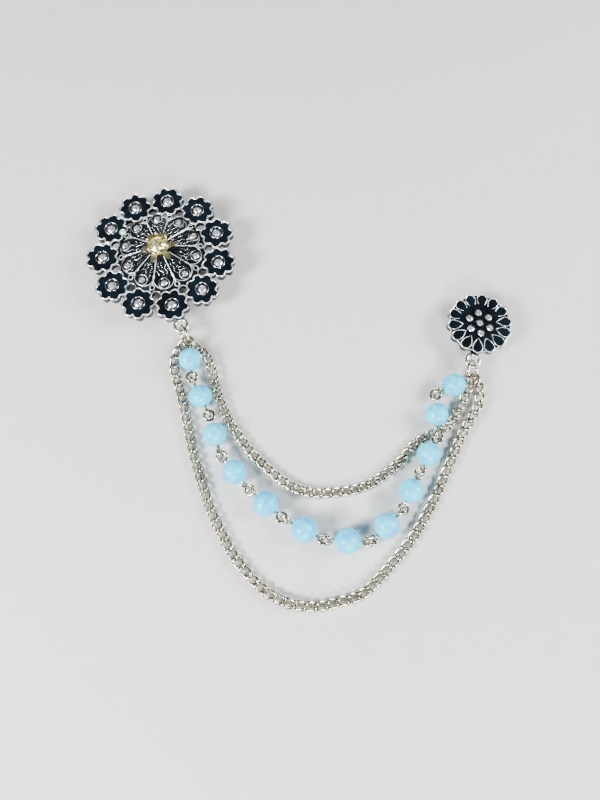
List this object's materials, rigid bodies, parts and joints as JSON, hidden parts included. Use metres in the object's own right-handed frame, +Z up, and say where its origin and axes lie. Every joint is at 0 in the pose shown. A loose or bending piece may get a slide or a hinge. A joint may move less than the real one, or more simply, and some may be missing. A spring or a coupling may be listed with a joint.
{
  "type": "lapel chain",
  "caption": "Two enamelled flower brooches joined by two curb chains and a strand of pale blue pearls.",
  "frame": {"origin": "middle of the bounding box on the surface it lies on", "axes": "+Z up out of the brooches' fronts, +X from the large brooch towards the small one, +Y away from the hanging loops"},
  "size_m": [0.1074, 0.1064, 0.0102],
  "materials": {
    "cast_silver": "bright cast metal, a little worn",
    "chain_silver": "polished wire",
    "pin_metal": "drawn wire and stamped sheet",
    "gold_cup": "pale gold plating",
    "dark_enamel": "glossy dark teal enamel",
    "clear_stone": "cut and polished",
    "yellow_stone": "cut and polished",
    "green_stone": "domed and polished",
    "pearl": "satin pearl coat"
  },
  "bodies": {
    "root": {"large_casting": "cast_silver", "floret_enamel": "dark_enamel", "petal_enamel": "dark_enamel", "floret_stone_1": "clear_stone", "floret_stone_2": "clear_stone", "floret_stone_3": "clear_stone", "floret_stone_4": "clear_stone", "floret_stone_5": "clear_stone", "floret_stone_6": "clear_stone", "floret_stone_7": "clear_stone", "floret_stone_8": "clear_stone", "floret_stone_9": "clear_stone", "floret_stone_10": "clear_stone", "floret_stone_11": "clear_stone", "petal_stones": "clear_stone", "cabochon": "green_stone", "centre_setting": "gold_cup", "centre_stone": "yellow_stone", "large_pin_back": "pin_metal", "small_casting": "cast_silver", "small_enamel": "dark_enamel", "small_stone_1": "clear_stone", "small_stone_2": "clear_stone", "small_stone_3": "clear_stone", "small_stone_4": "clear_stone", "small_stone_5": "clear_stone", "small_stone_6": "clear_stone", "small_stone_7": "clear_stone", "small_pin_back": "pin_metal", "large_ring": "chain_silver", "small_ring": "chain_silver", "outer_chain": "chain_silver", "inner_chain": "chain_silver", "pearl_pins": "chain_silver", "pearl_1": "pearl", "pearl_2": "pearl", "pearl_3": "pearl", "pearl_4": "pearl", "pearl_5": "pearl", "pearl_6": "pearl", "pearl_7": "pearl", "pearl_8": "pearl", "pearl_9": "pearl", "pearl_10": "pearl", "pearl_11": "pearl", "pearl_12": "pearl"}
  },
  "joints": []
}
